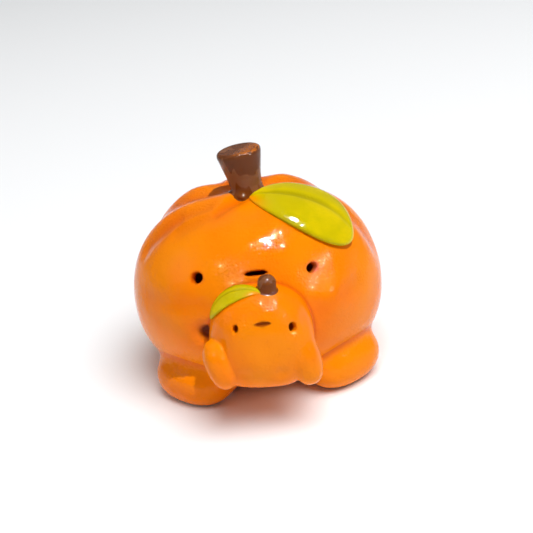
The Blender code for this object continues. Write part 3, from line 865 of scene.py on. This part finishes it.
class Glaze:
    """One glaze material, with short ways to add and join its nodes."""

    def __init__(self, name, roughness):
        """Starts a material with its plain roughness, which the finished one varies."""
        self.material = bpy.data.materials.new(name)
        self.material.use_nodes = True
        self.tree = self.material.node_tree
        self.shader = self.tree.nodes["Principled BSDF"]
        self.shader.inputs["Roughness"].default_value = roughness
        self.shader.inputs["IOR"].default_value = GLAZE_IOR
        self.place = self.tree.nodes.new("ShaderNodeTexCoord").outputs["Object"]

    def feed(self, socket, value):
        """Links a socket to another node's output, or sets its own value."""
        if isinstance(value, bpy.types.NodeSocket):
            self.tree.links.new(value, socket)
        else:
            socket.default_value = value

    def noise(self, scale, detail=2.0, stretch=(1.0, 1.0, 1.0), seed=0.0):
        """Soft noise, around 0.5, with this many waves a metre."""
        mapping = self.tree.nodes.new("ShaderNodeMapping")
        self.feed(mapping.inputs["Vector"], self.place)
        mapping.inputs["Scale"].default_value = stretch
        mapping.inputs["Location"].default_value = (seed, seed, seed)
        texture = self.tree.nodes.new("ShaderNodeTexNoise")
        self.feed(texture.inputs["Vector"], mapping.outputs["Vector"])
        texture.inputs["Scale"].default_value = scale
        texture.inputs["Detail"].default_value = detail
        return texture.outputs["Fac"]

    def mark(self, name):
        """A point attribute that the mesh carries, 0 where it has none."""
        attribute = self.tree.nodes.new("ShaderNodeAttribute")
        attribute.attribute_name = name
        return attribute.outputs["Fac"]

    def maths(self, operation, first, second):
        """One arithmetic step."""
        node = self.tree.nodes.new("ShaderNodeMath")
        node.operation = operation
        self.feed(node.inputs[0], first)
        self.feed(node.inputs[1], second)
        return node.outputs["Value"]

    def between(self, value, low, high, out_low=0.0, out_high=1.0):
        """A value eased from out_low to out_high as it goes from low to high."""
        node = self.tree.nodes.new("ShaderNodeMapRange")
        node.interpolation_type = "SMOOTHSTEP"
        for name, given in (("Value", value), ("From Min", low), ("From Max", high)):
            self.feed(node.inputs[name], given)
        node.inputs["To Min"].default_value = out_low
        node.inputs["To Max"].default_value = out_high
        return node.outputs["Result"]

    def mixed(self, share, first, second):
        """Two colours, mixed by a share from 0 to 1."""
        node = self.tree.nodes.new("ShaderNodeMix")
        node.data_type = "RGBA"
        self.feed(node.inputs["Factor"], share)
        for socket, colour in ((node.inputs["A"], first), (node.inputs["B"], second)):
            self.feed(socket, colour if isinstance(colour, bpy.types.NodeSocket) else (*colour, 1.0))
        return node.outputs["Result"]

    def relief(self, height, depth, under=None):
        """A bump of this depth in metres, on top of another one."""
        node = self.tree.nodes.new("ShaderNodeBump")
        node.inputs["Strength"].default_value = 1.0
        node.inputs["Distance"].default_value = depth
        self.feed(node.inputs["Height"], height)
        if under:
            self.feed(node.inputs["Normal"], under)
        return node.outputs["Normal"]

    def finished(self, colour, roughness, normal):
        """Joins the finish to the shader and returns the material."""
        self.feed(self.shader.inputs["Base Color"], colour)
        self.feed(self.shader.inputs["Roughness"], roughness)
        self.feed(self.shader.inputs["Normal"], normal)
        return self.material


def glaze_relief(glaze, peel_depth):
    """Broad waves under the glaze, with a fine orange peel that comes and goes in patches."""
    waves = glaze.relief(glaze.noise(WAVES), WAVE_DEPTH)
    patches = glaze.between(glaze.noise(PEEL_PATCHES, seed=3.0), 0.42, 0.62, 0.35, 1.0)
    peel = glaze.maths("MULTIPLY", glaze.noise(PEEL, 0.0), patches)
    return glaze.relief(peel, peel_depth, waves)


def orange_glaze():
    """Orange glaze, redder in pools and painted shade, brown in the small mouth, painted shadow in
    the crevice.
    """
    glaze = Glaze("orange_glaze_finish", 0.08)
    colour = glaze.mixed(glaze.between(glaze.noise(CLOUDS), *NARROW), ORANGE, ORANGE_WARM)
    speckle = glaze.between(glaze.noise(SPECKLES, seed=7.0), 0.6, 0.72, 0.0, 0.12)
    colour = glaze.mixed(speckle, colour, ORANGE_POOL_AND_SHADE)
    # Pooled glaze and painted shade, from the mark that the pieces carry.
    pooled_and_shaded = glaze.maths("MULTIPLY", glaze.mark("pool"), 0.75)
    colour = glaze.mixed(pooled_and_shaded, colour, ORANGE_POOL_AND_SHADE)
    colour = glaze.mixed(glaze.mark("paint"), colour, MOUTH_PAINT)
    # Painted shadow in the crevice.
    colour = glaze.mixed(glaze.mark("dark"), colour, CREVICE_SHADOW_BROWN)
    height = glaze.tree.nodes.new("ShaderNodeSeparateXYZ")
    glaze.feed(height.inputs["Vector"], glaze.place)
    wiped = glaze.between(height.outputs["Z"], *WIPED, 1.0, 0.0)
    colour = glaze.mixed(wiped, colour, BARE_CLAY)
    rough = glaze.between(glaze.noise(SMEARS, seed=5.0), *BROAD, 0.015, 0.035)
    rough = glaze.maths("ADD", rough, glaze.maths("MULTIPLY", wiped, 0.6))
    return glaze.finished(colour, rough, glaze_relief(glaze, PEEL_DEPTH))


def green_glaze():
    """Yellow-green glaze, olive in the vein and at the lip, and orange where it is thin."""
    glaze = Glaze("green_glaze_finish", 0.08)
    clouds = glaze.between(glaze.noise(LEAF_CLOUDS), *NARROW)
    colour = glaze.mixed(clouds, LEAF_YELLOW, LEAF_GREEN)
    streaks = glaze.between(glaze.noise(STREAKS, 3.0, (1.0, 3.0, 3.0)), 0.4, 0.7, 0.0, 0.35)
    colour = glaze.mixed(streaks, colour, LEAF_GREEN)
    groove = glaze.between(glaze.mark("groove"), 0.1, 0.9, 0.0, 0.7)
    colour = glaze.mixed(groove, colour, LEAF_OLIVE)
    rim = glaze.between(glaze.mark("rim"), 0.88, 1.0, 0.0, 0.45)
    colour = glaze.mixed(rim, colour, LEAF_OLIVE)
    thin = glaze.between(glaze.mark("thin"), 0.1, 0.7)
    colour = glaze.mixed(thin, colour, LEAF_ROOT)
    rough = glaze.between(glaze.noise(LEAF_SMEARS, seed=5.0), *BROAD, 0.03, 0.06)
    return glaze.finished(colour, rough, glaze_relief(glaze, LEAF_PEEL_DEPTH))


def brown_glaze():
    """Brown glaze that has run down from a rough, coppery top, with a middle band partly painted
    reflection.
    """
    glaze = Glaze("brown_glaze_finish", 0.1)
    height = glaze.mark("height")
    runs = glaze.noise(RUNS, 2.0, (1.0, 1.0, 0.18), seed=2.0)
    level = glaze.maths("ADD", height, glaze.between(runs, *BROAD, -0.3, 0.3))
    # The lighter middle band is partly painted reflection.
    colour = glaze.mixed(glaze.between(level, 0.28, 0.36), STEM_LOW, STEM_MIDDLE)
    colour = glaze.mixed(glaze.between(level, 0.74, 0.80), colour, STEM_DARK)
    top = glaze.between(height, 0.93, 0.97)
    grains = glaze.between(glaze.noise(GRIT, 3.0), 0.36, 0.56)
    colour = glaze.mixed(glaze.maths("MULTIPLY", top, grains), colour, STEM_COPPER)
    rough = glaze.maths("ADD", 0.08, glaze.maths("MULTIPLY", top, 0.14))
    waves = glaze.relief(glaze.noise(STEM_WAVES), STEM_WAVE_DEPTH)
    coarse = glaze.between(top, 0.0, 1.0, 0.15, 1.0)
    grit = glaze.maths("MULTIPLY", glaze.noise(GRIT, 3.0), coarse)
    return glaze.finished(colour, rough, glaze.relief(grit, GRIT_DEPTH, waves))


# ---------------------------------------------------------------- camera, light and floor


def camera_axes(turn=0.0):
    """Right, up and back of the camera, turned clockwise by some degrees about its view."""
    tilt = math.radians(CAMERA_TILT)
    back = Vector((0.0, -math.cos(tilt), math.sin(tilt)))
    roll = Matrix.Rotation(math.radians(-turn), 3, back)
    right = roll @ Vector((1.0, 0.0, 0.0))
    return right, back.cross(right), back


def add_camera():
    """The camera, rolled a little as the figure leans in its view."""
    right, up, back = camera_axes(CAMERA_ROLL)
    data = bpy.data.cameras.new("camera")
    data.sensor_width = SENSOR_WIDTH
    data.lens = data.sensor_width * CAMERA_DISTANCE / VIEW_WIDTH
    camera = bpy.data.objects.new("camera", data)
    target = Vector(BODY_CENTRE * MM) + right * AIM_RIGHT + up * AIM_UP
    place = Matrix((right, up, back)).transposed().to_4x4()
    camera.matrix_world = Matrix.Translation(target + back * CAMERA_DISTANCE) @ place
    bpy.context.scene.collection.objects.link(camera)
    bpy.context.scene.camera = camera


def add_softbox(name, towards, distance, size, power):
    """A disc light that shines on the figure from a direction given to the camera's axes."""
    right, up, back = camera_axes()
    ray = (right * towards[0] + up * towards[1] + back * towards[2]).normalized()
    data = bpy.data.lights.new(name, "AREA")
    data.shape = "DISK"
    data.size = size
    data.energy = power
    light = bpy.data.objects.new(name, data)
    light.location = Vector(BODY_CENTRE * MM) + ray * distance
    light.rotation_euler = ray.to_track_quat("Z", "Y").to_euler()
    bpy.context.scene.collection.objects.link(light)
    return light


def shine_only_on(light, objects):
    """Lets a light reach these objects only."""
    group = bpy.data.collections.new(light.name + "_reaches")
    for obj in objects:
        group.objects.link(obj)
    light.light_linking.receiver_collection = group


def aim_lights(lights, floor):
    """Keeps the hard lights off the floor, and the wide one off the pieces."""
    pieces = [obj for obj in bpy.data.objects if obj.name.endswith("_clay")]
    for name in ("key", *HIGHLIGHTS):
        shine_only_on(lights[name], pieces)
    for name in HIGHLIGHTS:
        lights[name].visible_diffuse = False
    shine_only_on(lights["wide_key"], [floor])


def add_world():
    """A dim grey room, so that the glaze keeps its depth between the lights."""
    world = bpy.data.worlds.new("room")
    world.use_nodes = True
    background = world.node_tree.nodes["Background"]
    background.inputs["Color"].default_value = (1.0, 1.0, 1.0, 1.0)
    background.inputs["Strength"].default_value = ROOM_LIGHT
    bpy.context.scene.world = world


def add_floor():
    """A wide, plain, pale floor."""
    mesh = bpy.data.meshes.new("floor")
    angles = np.linspace(0.0, 2 * math.pi, FLOOR_SIDES, endpoint=False)
    rim = [(FLOOR_RADIUS * math.cos(a), FLOOR_RADIUS * math.sin(a), 0.0) for a in angles]
    mesh.from_pydata(rim, [], [tuple(range(len(rim)))])
    floor = bpy.data.objects.new("floor", mesh)
    paper = bpy.data.materials.new("floor_paper")
    paper.use_nodes = True
    shader = paper.node_tree.nodes["Principled BSDF"]
    shader.inputs["Base Color"].default_value = (*FLOOR_COLOUR, 1.0)
    shader.inputs["Roughness"].default_value = 0.9
    shader.inputs["Specular IOR Level"].default_value = 0.1
    mesh.materials.append(paper)
    bpy.context.scene.collection.objects.link(floor)
    return floor


def main():
    """Builds the pieces and the studio."""
    orange, green, brown = orange_glaze(), green_glaze(), brown_glaze()
    build_body(orange)
    build_feet(orange)
    build_baby(orange)
    build_baby_feet(orange)
    build_stems(brown)
    build_leaves(green)
    add_camera()
    lights = {name: add_softbox(name, *values) for name, values in LIGHTS.items()}
    add_world()
    floor = add_floor()
    aim_lights(lights, floor)
    bpy.context.scene.view_settings.view_transform = "Standard"


main()
